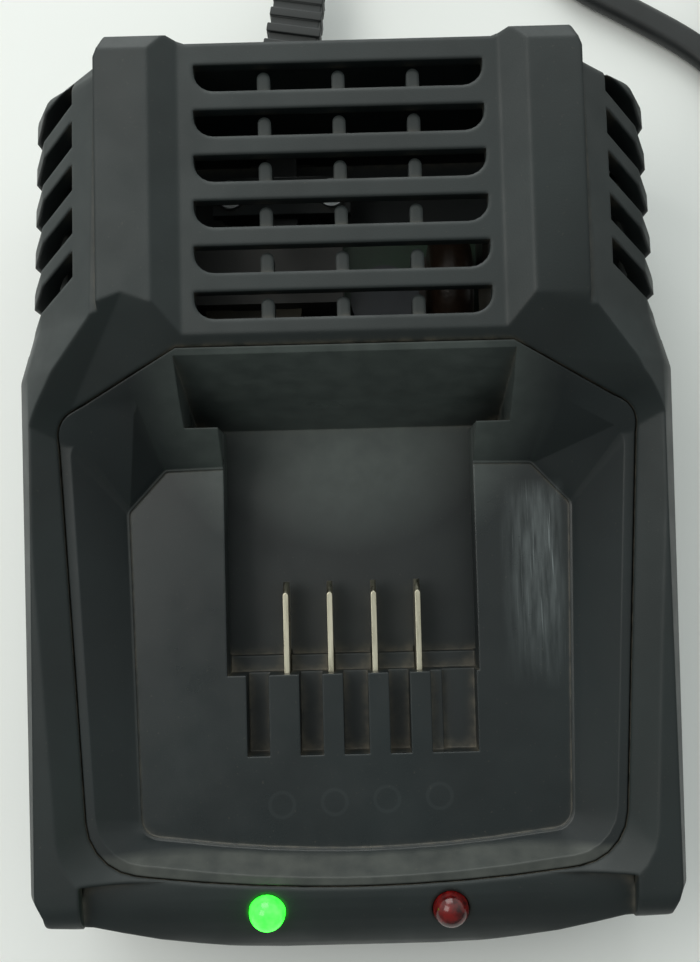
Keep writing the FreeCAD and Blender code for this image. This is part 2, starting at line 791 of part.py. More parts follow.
def base_housing():
    """Lower moulding: tray with bosses, vents in its floor and a notch for the lead's sleeve."""
    outer_ring = case_outline(0.0, 0.0, case_front, rail_end + 1.0)
    bottom_ring = case_outline(0.0, 0.0, case_front, rail_end + 1.0, inset=1.2)
    outer = skin([
        [V(x, y, foot_height) for x, y in bottom_ring],
        [V(x, y, foot_height + 1.6) for x, y in outer_ring],
        [V(x, y, split_height) for x, y in outer_ring],
    ])
    outer = outer.fuse(prism(ridge_outline(0.0), foot_height, split_height).common(
        box(-60, 60, 40, 80, foot_height, split_height)))
    hollow = prism(case_outline(inset=wall), floor_top, split_height + 1.0)
    tray = outer.cut(hollow)
    posts = []
    for sign in (-1, 1):
        for x, y in (rear_boss, front_boss):
            posts.append(rod(sign * x, y, boss_radius, foot_height + 0.5, split_height))
        for x, y in board_boss:
            posts.append(rod(sign * x, y, board_post_radius, floor_top - 0.5, board_bottom))
        x, y = lamp_post
        posts.append(rod(sign * x, y, 2 * lamp_stake_radius, floor_top - 0.5, lamp_board_bottom))
        stake_top = lamp_board_bottom + lamp_board_thickness + 0.7
        posts.append(rod(sign * x, y, lamp_stake_radius, lamp_board_bottom - 0.5, stake_top))
    tray = joined([tray] + posts)
    cuts = []
    for sign in (-1, 1):
        for x, y in (rear_boss, front_boss):
            cuts.append(rod(sign * x, y, screw_radius + screw_passage, 0.0, split_height + 1))
            cuts.append(rod(sign * x, y, screw_head_radius + 0.2, 0.0, screw_head_top))
        for x, y in board_boss:
            cuts.append(rod(sign * x, y, small_screw_radius + screw_clearance, floor_top, board_bottom + 1))
        for x, y in foot_place:
            cuts.append(rod(sign * x, y, foot_radius + 0.1, 0.0, foot_height + foot_recess))
    for k in range(vent_count):
        y = (vent_count - 1 - 2 * k) * vent_pitch / 2
        cuts.append(box(-vent_half_length, vent_half_length, y - vent_width / 2, y + vent_width / 2,
                        0.0, floor_top + 1))
    notch_half = sleeve_width / 2 + lead_clearance
    notch_low = sleeve_lift - sleeve_height / 2 - lead_clearance
    cuts.append(box(sleeve_x - notch_half, sleeve_x + notch_half,
                    case_rear - collar_inside - 0.5, case_rear + 10.0, notch_low, split_height + 1))
    for shape in cuts:
        tray = tray.cut(shape)
    return tray


def screw(x, y, head_top, tip, head=screw_head_radius, radius=screw_radius):
    """Pan-head screw driven upwards. Its cross recess is in the underside of the head."""
    low = head_top - screw_head_height
    body = rod(x, y, head, low, head_top).fuse(rod(x, y, radius, head_top - 0.2, tip))
    for turn in (0, 90):
        slot = box(x - head * 0.55, x + head * 0.55, y - 0.3, y + 0.3, low - 1, low + 0.9)
        slot.rotate(V(x, y, 0), V(0, 0, 1), turn)
        body = body.cut(slot)
    return body.removeSplitter()


def screw_group(places, head_top, tip, head=screw_head_radius, radius=screw_radius):
    screws = []
    for x, y in places:
        for sign in (-1, 1):
            screws.append(screw(sign * x, y, head_top, tip, head, radius))
    return Part.makeCompound(screws)


def rubber_feet():
    feet = []
    for x, y in foot_place:
        for sign in (-1, 1):
            pad = Part.makeCone(foot_radius - 0.8, foot_radius, 1.0, V(sign * x, y, 0))
            stud = rod(sign * x, y, foot_radius, 1.0, foot_height + foot_recess)
            feet.append(pad.fuse(stud).removeSplitter())
    return Part.makeCompound(feet)


def terminal_blade(k):
    """Plated spade contact: a pointed blade with a tab down to the circuit board."""
    x = blade_x(k)
    root = -channel_front - blade_grip
    tip = -channel_front + blade_reach
    low = blade_bottom
    high = blade_bottom + blade_height
    outline = [
        (root, board_bottom),
        (root, high),
        (tip - 1.6, high),
        (tip, high - 1.7),
        (tip, low + 1.2),
        (tip - 1.2, low),
        (root + blade_tab + 1.5, low),
        (root + blade_tab + 1.5, board_top),
        (root + blade_tab, board_top),
        (root + blade_tab, board_bottom),
    ]
    blade = side_profile(outline, x - blade_thickness / 2, x + blade_thickness / 2)
    keen = [e for e in blade.Edges if abs(e.CenterOfMass.y - (tip - 0.8)) < 0.2 and e.Length > 1.5]
    return blade.makeChamfer(0.25, keen)


def terminal_block():
    """Moulding on the circuit board that grips the roots of the four contacts."""
    half = blade_x(blade_count - 1) + 3.2
    top = comb_floor - comb_bridge - 0.3
    block = box(-half, half, -channel_front - blade_grip - 1.6, -channel_front - 2.4, board_top, top)
    room = blade_thickness / 2 + lead_slip
    for k in range(blade_count):
        x = blade_x(k)
        block = block.cut(box(x - room, x + room, -channel_front - blade_grip - lead_slip, -channel_front,
                              board_top - 1, 60))
    return block


def circuit_board():
    """Glass-fibre board, notched round the rear bosses."""
    board = box(-board_half_width, board_half_width, -board_front, board_rear, board_bottom, board_top)
    for sign in (-1, 1):
        board = board.cut(rod(sign * rear_boss[0], rear_boss[1], boss_radius + 0.6, 0, 40))
        board = board.cut(rod(sign * front_boss[0], front_boss[1], boss_radius + 0.6, 0, 40))
        for x, y in board_boss:
            board = board.cut(rod(sign * x, y, small_screw_radius + 0.2, 0, 40))
    for k in range(blade_count):
        x = blade_x(k)
        room = blade_thickness / 2 + lead_slip
        root = -channel_front - blade_grip
        board = board.cut(box(x - room, x + room, root - lead_slip, root + blade_tab + lead_slip, 0, 40))
    return board


def transformer_core():
    low = board_top + trafo_base + 0.1
    frame = box(trafo_x - trafo_width / 2, trafo_x + trafo_width / 2, trafo_y - core_thickness / 2,
                trafo_y + core_thickness / 2, low, low + trafo_height)
    inner = trafo_width / 2 - core_leg
    for side in (-1, 1):
        x0, x1 = sorted((trafo_x + side * core_leg / 2, trafo_x + side * inner))
        frame = frame.cut(box(x0, x1, trafo_y - trafo_length, trafo_y + trafo_length,
                              low + core_yoke, low + trafo_height - core_yoke))
    return frame


def transformer_bobbin():
    """Foot of the bobbin, between the core and the board."""
    half_x = trafo_width / 2
    half_y = trafo_length / 2
    return box(trafo_x - half_x, trafo_x + half_x, trafo_y - half_y, trafo_y + half_y,
               board_top, board_top + trafo_base)


def transformer_winding():
    """Taped winding round the middle leg of the core."""
    room = lead_clearance
    z0 = board_top + trafo_base + lead_clearance + core_yoke + room
    z1 = board_top + trafo_base + lead_clearance + trafo_height - core_yoke - room
    half = trafo_width / 2 - core_leg - room
    winding = Part.makeBox(2 * half, winding_length, z1 - z0,
                           V(trafo_x - half, trafo_y - winding_length / 2, z0))
    upright = [e for e in winding.Edges if abs(e.tangentAt(e.FirstParameter).z) > 0.9]
    winding = winding.makeFillet(winding_round, upright)
    leg = core_leg / 2 + room
    deep = core_thickness / 2 + room
    return winding.cut(box(trafo_x - leg, trafo_x + leg, trafo_y - deep, trafo_y + deep, z0 - 1, z1 + 1))


def can(x, y, radius, height):
    """Electrolytic capacitor with its rolled groove near the foot."""
    body = rod(x, y, radius, board_top, board_top + height)
    groove = rod(x, y, radius + 1, board_top + 1.5, board_top + 2.3).cut(
        rod(x, y, radius - 0.5, board_top, board_top + 4))
    return body.cut(groove)


def mains_choke():
    """Common-mode choke: a wound ring standing on a seat."""
    outside = choke_ring_radius + choke_wire_radius
    centre = V(choke_x, choke_y, board_top + outside + 0.4)
    wound = Part.makeTorus(choke_ring_radius, choke_wire_radius, centre, V(1, 0, 0))
    half_x = choke_wire_radius + 1.2
    half_y = choke_ring_radius + 1.0
    seat = box(choke_x - half_x, choke_x + half_x, choke_y - half_y, choke_y + half_y,
               board_top, board_top + choke_seat_height)
    return wound.fuse(seat).removeSplitter()


def heat_sink():
    """Bent aluminium sheet: a foot on the board and a flange turned inwards."""
    x1 = board_half_width - 2.5
    y0, y1 = sink_rows
    top = board_top + sink_height
    upright = box(x1 - sink_thickness, x1, y0, y1, board_top, top)
    flange = box(x1 - sink_thickness - sink_flange, x1, y0, y1, top - sink_thickness, top)
    return upright.fuse(flange).removeSplitter()


def flat_part(centre, width, length, height):
    """Block-shaped part on the board, with its upper edges chamfered."""
    x, y = centre
    body = box(x - width / 2, x + width / 2, y - length / 2, y + length / 2, board_top, board_top + height)
    top = [e for e in body.Edges if abs(e.CenterOfMass.z - board_top - height) < 0.01]
    return body.makeChamfer(min(height, width, length) * 0.12, top)


def power_part(centre):
    return flat_part(centre, power_part_width, power_part_length, power_part_height)


def fuse_tube():
    x, y = fuse_start
    return Part.makeCylinder(fuse_radius, fuse_length, V(x, y, board_top + fuse_radius), V(0, 1, 0))


def cord_clamp():
    """Bar that holds the lead down, on two posts of its own."""
    top = floor_top + clamp_post_height
    clamp = box(sleeve_x - clamp_half_length, sleeve_x + clamp_half_length, clamp_y - clamp_half_width,
                clamp_y + clamp_half_width, top, top + clamp_thickness)
    for side in (-1, 1):
        x = sleeve_x + side * clamp_post_spread
        clamp = clamp.fuse(rod(x, clamp_y, clamp_post_radius, floor_top, top))
    for side in (-1, 1):
        x = sleeve_x + side * clamp_post_spread
        clamp = clamp.cut(rod(x, clamp_y, clamp_screw_radius + screw_clearance, floor_top + 1.0, 40))
    return clamp.removeSplitter()


def clamp_screws():
    top = floor_top + clamp_post_height + clamp_thickness
    screws = []
    for side in (-1, 1):
        x = sleeve_x + side * clamp_post_spread
        head = rod(x, clamp_y, small_head_radius, top, top + small_head_height)
        shank = rod(x, clamp_y, clamp_screw_radius, top - 6.0, top + 0.2)
        screws.append(head.fuse(shank).removeSplitter())
    return Part.makeCompound(screws)


def inner_cord():
    """Stretch of the flat lead inside the case, from the sleeve's collar to the board, under the clamp."""
    y1 = case_rear - collar_inside
    high = floor_top + clamp_post_height - 0.1
    return box(sleeve_x - flat_cord_width / 2, sleeve_x + flat_cord_width / 2, y1 - inner_cord_length, y1,
               high - flat_cord_height, high)


# Direction of the sleeve outside the case
lean = math.radians(sleeve_lean)
sleeve_root = V(sleeve_x, case_rear, sleeve_lift)
sleeve_way = V(math.sin(lean), math.cos(lean), 0)


def strain_relief():
    """Ribbed sleeve: a collar in the rear wall, then square ribs along a narrower core."""
    collar = box(-sleeve_width / 2, sleeve_width / 2, -collar_inside, collar_outside,
                 -sleeve_height / 2, sleeve_height / 2)
    half = sleeve_core_width / 2
    core = box(-half, half, 0.0, sleeve_length, -sleeve_core_height / 2, sleeve_core_height / 2)
    leaning = [core]
    count = int((sleeve_length - 2.0) / sleeve_rib_pitch)
    for k in range(count):
        y = 2.0 + k * sleeve_rib_pitch
        size = 1.0 - sleeve_taper * k / (count - 1)
        half = sleeve_width * size / 2
        leaning.append(box(-half, half, y, y + sleeve_rib_width,
                           -sleeve_height * size / 2, sleeve_height * size / 2))
    for piece in leaning:
        piece.rotate(V(0, 0, 0), V(0, 0, 1), -sleeve_lean)
    sleeve = joined([collar] + leaning)
    sleeve.translate(sleeve_root)
    return sleeve


# Lead
sleeve_end = sleeve_root + sleeve_way * sleeve_length
lead_low = cord_tube / 2
coil_low = cord_tube / 2 + tie_thickness + 0.1


def coil_point(turns):
    """Point of the coil after a number of turns: inwards below, then outwards above."""
    span = coil_turns * cord_spacing
    outer_radius = coil_radius + span / 2
    total = 2 * coil_turns
    radius = outer_radius - cord_spacing * turns
    if turns > coil_turns:
        radius = outer_radius - cord_spacing * (total - turns)
    climb = min(max((turns - coil_turns + 0.25) / 0.5, 0.0), 1.0)
    settle = min(max((turns - total + 0.5) / 0.5, 0.0), 1.0)
    z = coil_low + cord_layer_step * climb * climb * (3 - 2 * climb)
    z += (plug_thickness / 2 - coil_low - cord_layer_step) * settle * settle * (3 - 2 * settle)
    reverse = max(0.0, 0.25 - abs(turns - coil_turns))
    radius += cord_spacing * 2 * reverse * reverse
    angle = math.radians(coil_entry_angle) + 2 * math.pi * turns
    return V(coil_centre[0] + radius * math.cos(angle), coil_centre[1] + radius * math.sin(angle), z)


def coil_way(turns):
    """Direction of the coil there."""
    step = 1e-4
    total = 2 * coil_turns
    return (coil_point(min(turns + step, total)) - coil_point(max(turns - step, 0.0))).normalize()


def biarc(p0, t0, p1, t1):
    """Two arcs that join tangentially, from p0 along t0 to p1 along t1."""
    gap = p1 - p0
    both = t0 + t1
    a = 2 * (1 - t0.dot(t1))
    b = 2 * gap.dot(both)
    c = -gap.dot(gap)
    if abs(a) < 1e-9:
        d = -c / b
    else:
        d = (-b + math.sqrt(b * b - 4 * a * c)) / (2 * a)
    q0 = p0 + t0 * d
    q1 = p1 - t1 * d
    middle = (q0 + q1) * 0.5
    return [arc_from(p0, t0, middle), arc_from(middle, (q1 - q0).normalize(), p1)]


def arc_from(start, way, end):
    """Arc that leaves start along way and reaches end."""
    chord = end - start
    across = chord - way * chord.dot(way)
    if across.Length < 1e-6:
        return Part.LineSegment(start, end)
    side = across.normalize()
    radius = chord.dot(chord) / (2 * chord.dot(side))
    half = math.atan2(chord.dot(side), chord.dot(way))
    peak = start + way * (radius * math.sin(half)) + side * (radius * (1 - math.cos(half)))
    return Part.Arc(start, peak, end)


def tube(curves, start, way):
    """Round tube along arcs and runs that join tangentially."""
    spine = Part.Wire([c.toShape() for c in curves])
    profile = Part.Wire([Part.Circle(start, way, cord_tube / 2).toShape()])
    maker = Part.BRepOffsetAPI.MakePipeShell(spine)
    maker.add(profile)
    maker.build()
    maker.makeSolid()
    return maker.shape(), spine.Length


def lead_route():
    """Points of the free stretch, from the sleeve's end round to the coil."""
    entry = coil_point(0.0)
    back = coil_way(0.0)
    before = entry - back * 10.4
    return [
        sleeve_end,
        sleeve_end + sleeve_way * 11.0,
        V(2.9, 107.3, 6.4),
        V(13.2, 111.3, 3.3),
        V(24.2, 109.2, lead_low),
        V(32.6, 101.8, lead_low),
        V(38.2, 90.7, lead_low),
        V(50.0, 84.2, lead_low),
        V(60.5, 77.9, lead_low),
        before,
        entry,
    ]


def lead_curves(points):
    """Straight runs joined by tangent arcs, each as large as its two runs allow."""
    curves = []
    place = points[0]
    radii = []
    for a, b, c in zip(points, points[1:], points[2:]):
        before = (b - a)
        after = (c - b)
        shorter = min(before.Length, after.Length)
        reach = 0.45 * shorter
        turn = before.getAngle(after)
        start = b - before.normalize() * reach
        end = b + after.normalize() * reach
        radii.append(round(reach / math.tan(turn / 2), 1))
        bisector = ((start + end) * 0.5 - b).normalize()
        radius = reach / math.tan(turn / 2)
        peak = b + bisector * (radius / math.cos(turn / 2) - radius)
        curves.append(Part.LineSegment(place, start))
        curves.append(Part.Arc(start, peak, end))
        place = end
    curves.append(Part.LineSegment(place, points[-1]))
    print("lead radii", radii)
    return curves


def cord_lead():
    points = lead_route()
    curves = lead_curves(points)
    solid, length = tube(curves, points[0], sleeve_way)
    print("lead length", round(length, 1), "volume", round(solid.Volume, 1),
          "section times length", round(math.pi * cord_tube ** 2 / 4 * length, 1))
    return solid


def cord_coil():
    """Wound form of the put-away length, one unbroken tube."""
    total = 2 * coil_turns
    steps = int(total * coil_steps_per_turn)
    curves = []
    for k in range(steps):
        t0 = total * k / steps
        t1 = total * (k + 1) / steps
        curves += biarc(coil_point(t0), coil_way(t0), coil_point(t1), coil_way(t1))
    end = coil_point(total)
    plug_start = end + coil_way(total) * coil_tail
    curves.append(Part.LineSegment(end, plug_start))
    solid, length = tube(curves, coil_point(0.0), coil_way(0.0))
    print("coil length", round(length, 1), "volume", round(solid.Volume, 1),
          "section times length", round(math.pi * cord_tube ** 2 / 4 * length, 1))
    count = int(total * coil_samples)
    samples = [coil_point(total * k / count) for k in range(count + 1)]
    apart = int(0.7 * coil_samples)
    least = min((p - q).Length for k, p in enumerate(samples) for q in samples[k + apart:])
    print("least gap of the coil to itself", round(least - cord_tube, 2))
    return solid


def coil_tie():
    """Flat strap round the turns of the coil."""
    span = coil_turns * cord_spacing / 2 + cord_tube / 2 + tie_slack
    inner = (coil_radius - span, coil_radius + span)
    top = coil_low + cord_layer_step + cord_tube / 2 + tie_slack
    outside = box(inner[0] - tie_thickness, inner[1] + tie_thickness, -tie_width / 2, tie_width / 2,
                  0.0, top + tie_thickness)
    inside = box(inner[0], inner[1], -tie_width, tie_width, tie_thickness, top)
    strap = outside.cut(inside)
    strap.rotate(V(0, 0, 0), V(0, 0, 1), tie_angle)
    strap.translate(V(coil_centre[0], coil_centre[1], 0))
    return strap


def plug_frame():
    """Place and direction of the plug: it follows on from the coil's end."""
    total = 2 * coil_turns
    way = coil_way(total)
    way = V(way.x, way.y, 0).normalize()
    return coil_point(total) + way * coil_tail, way


def placed(shape):
    """Moves a shape drawn along +X from the origin to the plug's place."""
    start, way = plug_frame()
    turn = math.degrees(math.atan2(way.y, way.x))
    shape.rotate(V(0, 0, 0), V(0, 0, 1), turn)
    shape.translate(V(start.x, start.y, plug_thickness / 2))
    return shape


def plug_body():
    """Flat moulded plug: a grip that widens from the lead to a level face."""
    half = plug_width / 2
    low = plug_thickness / 2
    widened = plug_depth - 11.5
    side_half = [
        (0.0, plug_neck),
        (7.0, plug_neck + 1.0),
        (widened - 2.5, half - 3.0),
        (widened, half),
        (plug_depth, half),
    ]
    plan = [V(x, -y, -low) for x, y in side_half] + [V(x, y, -low) for x, y in reversed(side_half)]
    body = Part.Face(Part.makePolygon(plan + plan[:1])).extrude(V(0, 0, plug_thickness))
    height_half = [(0.0, plug_neck_height), (9.0, low), (plug_depth, low)]
    side = [V(x, -half, -z) for x, z in height_half] + [V(x, -half, z) for x, z in reversed(height_half)]
    taper = Part.Face(Part.makePolygon(side + side[:1])).extrude(V(0, plug_width, 0))
    body = body.common(taper)
    for sign in (-1, 1):
        body = body.cut(pin_shape(sign, lead_slip))
    return placed(body)


def pin_shape(sign, extra=0.0):
    """Round pin, toed in a little."""
    pin = Part.makeCylinder(pin_radius + extra, pin_length + pin_root, V(0, 0, 0), V(1, 0, 0))
    tip = Part.makeSphere(pin_radius + extra, V(pin_length + pin_root, 0, 0))
    pin = pin.fuse(tip).removeSplitter()
    pin.rotate(V(0, 0, 0), V(0, 0, 1), -sign * pin_toe_in)
    pin.translate(V(plug_depth - pin_root, sign * pin_spacing / 2, 0))
    return pin


def board_screws():
    """Small screws that hold the board down on its posts."""
    screws = []
    for x, y in board_boss:
        for sign in (-1, 1):
            head = rod(sign * x, y, small_head_radius, board_top, board_top + small_head_height)
            shank = rod(sign * x, y, small_screw_radius, floor_top + 1.0, board_top + 0.2)
            screws.append(head.fuse(shank).removeSplitter())
    return Part.makeCompound(screws)


def output_capacitors():
    cans = [can(small_can_x, y, small_can_radius, small_can_height) for y in small_can_rows]
    return Part.makeCompound(cans)


nodes = {
    "upper_housing": upper_housing(),
    "base_housing": base_housing(),
    "docking_plate": docking_plate(),
    "terminal_block": terminal_block(),
    "lamp_green": lamp(-1),
    "lamp_red": lamp(1),
    "lamp_board": lamp_board(),
    "circuit_board": circuit_board(),
    "transformer_core": transformer_core(),
    "transformer_bobbin": transformer_bobbin(),
    "transformer_winding": transformer_winding(),
    "mains_choke": mains_choke(),
    "bulk_capacitor": can(bulk_can[0], bulk_can[1], bulk_can_radius, bulk_can_height),
    "output_capacitors": output_capacitors(),
    "film_capacitor": flat_part(film_centre, film_width, film_length, film_height),
    "heat_sink": heat_sink(),
    "switching_transistor": power_part(transistor_centre),
    "output_rectifier": power_part(rectifier_centre),
    "fuse": fuse_tube(),
    "control_chip": flat_part(chip_centre, chip_side, chip_side, chip_height),
    "case_screws_rear": screw_group([rear_boss], screw_head_top, rear_screw_tip),
    "case_screws_front": screw_group([front_boss], screw_head_top, front_screw_tip),
    "dock_screws": screw_group(dock_boss, skirt_bottom - dock_ledge, skirt_bottom + dock_screw_bite),
    "board_screws": board_screws(),
    "rubber_feet": rubber_feet(),
    "cord_clamp": cord_clamp(),
    "clamp_screws": clamp_screws(),
    "inner_cord": inner_cord(),
    "strain_relief": strain_relief(),
    "cord_lead": cord_lead(),
    "cord_coil": cord_coil(),
    "coil_tie": coil_tie(),
    "plug_body": plug_body(),
    "plug_pin_1": placed(pin_shape(-1)),
    "plug_pin_2": placed(pin_shape(1)),
}
for k in range(blade_count):
    nodes["terminal_blade_%d" % (k + 1)] = terminal_blade(k)
for name, shape in nodes.items():
    save(name, shape)
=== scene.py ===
import bpy
import math
from mathutils import Matrix, Vector


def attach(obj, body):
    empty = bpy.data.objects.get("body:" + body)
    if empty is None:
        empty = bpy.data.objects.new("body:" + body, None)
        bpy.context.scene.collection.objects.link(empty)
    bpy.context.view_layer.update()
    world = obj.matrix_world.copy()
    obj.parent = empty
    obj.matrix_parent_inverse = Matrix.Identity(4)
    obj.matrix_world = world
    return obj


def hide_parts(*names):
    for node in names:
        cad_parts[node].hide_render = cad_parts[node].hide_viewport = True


# Charger for a slide-on battery pack, seen from above on a pale table.
# Metres. +Z is up, +Y runs to the rear, where the lead leaves, and +X is to the right.
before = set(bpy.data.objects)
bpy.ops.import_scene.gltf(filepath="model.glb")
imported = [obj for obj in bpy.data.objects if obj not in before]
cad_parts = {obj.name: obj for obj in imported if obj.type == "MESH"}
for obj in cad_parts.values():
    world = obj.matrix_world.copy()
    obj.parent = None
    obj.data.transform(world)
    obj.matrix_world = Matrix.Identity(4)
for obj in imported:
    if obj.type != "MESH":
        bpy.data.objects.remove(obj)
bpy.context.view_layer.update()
bpy.ops.object.select_all(action="DESELECT")


# Camera
# Held over the charger, a little tilted, with a lens of the usual width for a telephone. The point
# straight below it lies right of the middle of the picture and below it, by the pixels given here.
millimetre = 0.001
right_of_middle = 6.0
below_middle = 79.0
focal_pixels = 1240.0
roll = math.radians(1.45)
held_at = Vector((0.8, -6.7, 206.0)) * millimetre
down = Vector((right_of_middle, below_middle, focal_pixels)).normalized()
up_axis = -down
rear_axis = Vector((-math.sin(roll), -math.cos(roll), 0.0))
rear_axis = (rear_axis - up_axis * rear_axis.dot(up_axis)).normalized()
right_axis = rear_axis.cross(up_axis)
to_world = Matrix((right_axis, rear_axis, up_axis))
turned = Matrix((to_world.col[0], -to_world.col[1], -to_world.col[2])).transposed()
bpy.ops.object.camera_add()
camera = bpy.context.object
camera.name = "telephone_camera"
camera.matrix_world = Matrix.Translation(held_at) @ turned.to_4x4()
camera.data.lens = 46.4
camera.data.sensor_width = 36.0
camera.data.clip_start = 0.01
camera.data.clip_end = 20.0
bpy.context.scene.camera = camera


# Upper housing
# The case's top is one ABS moulding: two flat-topped ridges that splay into the side rails, six slots,
# five louvres a side and a rolled front bar. Screws from below hold it to the base.
def linear(code):
    """Linear colour of a hexadecimal sRGB code."""
    shares = [int(code[k:k + 2], 16) / 255.0 for k in (1, 3, 5)]
    return [c / 12.92 if c <= 0.04045 else ((c + 0.055) / 1.055) ** 2.4 for c in shares] + [1.0]


def feed(owner, node, inputs):
    """Gives sockets of a node their values, or links them to the sockets that feed them."""
    for socket, value in inputs.items():
        if isinstance(value, bpy.types.NodeSocket):
            owner.node_tree.links.new(value, node.inputs[socket])
        else:
            node.inputs[socket].default_value = value


def add_node(owner, kind, inputs, output=0, **settings):
    """Adds a node to a material or the world, and gives one of its outputs."""
    node = owner.node_tree.nodes.new(kind)
    for name, value in settings.items():
        setattr(node, name, value)
    feed(owner, node, inputs)
    return node.outputs[output]


def pattern(material, size, detail=2.0, stretch=(1.0, 1.0, 1.0)):
    """Random pattern fixed to the piece, with features about size across, drawn out by stretch."""
    place = add_node(material, "ShaderNodeTexCoord", {}, "Object")
    shrink = [1.0 / share for share in stretch]
    scaled = add_node(material, "ShaderNodeMapping", {"Vector": place, "Scale": shrink})
    return add_node(material, "ShaderNodeTexNoise", {"Vector": scaled, "Scale": 1.0 / size, "Detail": detail})


def hollows(material, reach):
    """One in corners and seams narrower than reach, nought in the open."""
    light = add_node(material, "ShaderNodeAmbientOcclusion", {"Distance": reach}, "AO",
                     samples=6, only_local=False)
    return add_node(material, "ShaderNodeMapRange",
                    {"Value": light, "From Min": 0.25, "From Max": 0.8, "To Min": 1.0, "To Max": 0.0})


def surface(material, inputs, height=None, depth=0.0, edge=0.0):
    """Feeds a material's shader. height and depth give a relief, and edge shades sharp edges round."""
    if height is not None:
        relief = {"Strength": 1.0, "Distance": depth, "Height": height}
        if edge > 0.0:
            relief["Normal"] = add_node(material, "ShaderNodeBevel", {"Radius": edge}, samples=8)
        inputs["Normal"] = add_node(material, "ShaderNodeBump", relief)
    feed(material, material.node_tree.nodes["Principled BSDF"], inputs)
    return material


def moulded_plastic(name, dark, light, smoothest, roughest, dust):
    """Dusty ABS, its colour and its roughness. Pale brown dust fills its corners and specks the rest."""
    material = bpy.data.materials.new(name)
    material.use_nodes = True
    broad = pattern(material, 18.0 * millimetre, 4.0)
    shade = add_node(material, "ShaderNodeMapRange", {"Value": broad, "From Min": 0.3, "From Max": 0.7})
    colour = add_node(material, "ShaderNodeMix", {0: shade, 6: linear(dark), 7: linear(light)}, 2,
                      data_type="RGBA")
    fine = pattern(material, 1.6 * millimetre, 5.0)
    patches = add_node(material, "ShaderNodeMapRange",
                       {"Value": fine, "From Min": 0.35, "From Max": 0.65, "To Min": 0.25})
    settled = add_node(material, "ShaderNodeMath", {0: hollows(material, 2.2 * millimetre), 1: patches},
                       operation="MULTIPLY")
    settled = add_node(material, "ShaderNodeMath", {0: settled, 1: dust}, operation="MULTIPLY")
    grains = pattern(material, 0.45 * millimetre, 1.0)
    specks = add_node(material, "ShaderNodeMapRange",
                      {"Value": grains, "From Min": 0.72, "From Max": 0.8, "To Max": 0.14 * dust})
    amount = add_node(material, "ShaderNodeMath", {0: settled, 1: specks}, operation="MAXIMUM")
    colour = add_node(material, "ShaderNodeMix", {0: amount, 6: colour, 7: linear("#7a7263")}, 2,
                      data_type="RGBA")
    wear = pattern(material, 6.0 * millimetre, 5.0)
    roughness = add_node(material, "ShaderNodeMapRange",
                         {"Value": wear, "From Min": 0.3, "From Max": 0.7, "To Min": smoothest,
                          "To Max": roughest})
    duller = add_node(material, "ShaderNodeMath", {0: amount, 1: 0.3}, operation="MULTIPLY")
    roughness = add_node(material, "ShaderNodeMath", {0: roughness, 1: duller}, operation="ADD")
    return material, colour, roughness


def finished_copy(node, name, material, width=0.0, segments=2, angle=28.0, smooth=40.0):
    """Shown copy of a CAD node, its corners joined.

    With a width, flat faces are made whole and edges that turn by more than angle are rounded. Without
    one, edges that turn by more than smooth stay sharp, and the rest is shaded as one surface.
    """
    piece = bpy.data.objects.new(name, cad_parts[node].data.copy())
    bpy.context.scene.collection.objects.link(piece)
    bpy.ops.object.select_all(action="DESELECT")
    bpy.context.view_layer.objects.active = piece
    piece.select_set(True)
    bpy.ops.object.mode_set(mode="EDIT")
    bpy.ops.mesh.select_all(action="SELECT")
    bpy.ops.mesh.customdata_custom_splitnormals_clear()
    bpy.ops.mesh.remove_doubles(threshold=0.002 * millimetre)
    if width > 0.0:
        bpy.ops.mesh.dissolve_limited(angle_limit=math.radians(0.6))
    bpy.ops.mesh.faces_shade_smooth()
    bpy.ops.mesh.select_all(action="DESELECT")
    bpy.ops.mesh.select_mode(type="EDGE")
    if width == 0.0:
        bpy.ops.mesh.edges_select_sharp(sharpness=math.radians(smooth))
        bpy.ops.mesh.mark_sharp()
    bpy.ops.object.mode_set(mode="OBJECT")
    if width > 0.0:
        rounded = piece.modifiers.new("rounded_edges", "BEVEL")
        rounded.width = width
        rounded.segments = segments
        rounded.limit_method = "ANGLE"
        rounded.angle_limit = math.radians(angle)
        rounded.use_clamp_overlap = False
        rounded.miter_outer = "MITER_ARC"
        weighted = piece.modifiers.new("weighted_normals", "WEIGHTED_NORMAL")
        weighted.keep_sharp = True
        bpy.ops.object.modifier_apply(modifier=rounded.name)
        bpy.ops.object.modifier_apply(modifier=weighted.name)
    piece.data.materials.clear()
    piece.data.materials.append(material)
    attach(piece, "root")
    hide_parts(node)
    return piece


# A fine spark-eroded texture scatters the light, so the case looks satin. The grain is drawn coarser
# than the real one, so that it shows.
case_abs, case_colour, case_roughness = moulded_plastic("ABS, charcoal", "#11191a", "#172122", 0.5, 0.62, 0.6)
case_grain = pattern(case_abs, 0.22 * millimetre, 3.0)
surface(case_abs, {"Base Color": case_colour, "Roughness": case_roughness, "IOR": 1.54},
        case_grain, 0.014 * millimetre, edge=0.8 * millimetre)
finished_copy("upper_housing", "case_top", case_abs, smooth=24.0)


# Base housing
# Lower tray of the same ABS, with the screws that hold the top. Its vents, screw pockets and feet face
# the table. It is a little duller than the top, as nobody handles it.
base_abs, base_colour, base_roughness = moulded_plastic("ABS, base moulding", "#11181a", "#162022",
                                                        0.55, 0.65, 0.5)
base_grain = pattern(base_abs, 0.25 * millimetre, 3.0)
surface(base_abs, {"Base Color": base_colour, "Roughness": base_roughness, "IOR": 1.54},
        base_grain, 0.016 * millimetre, edge=0.3 * millimetre)
finished_copy("base_housing", "case_base", base_abs, smooth=24.0)


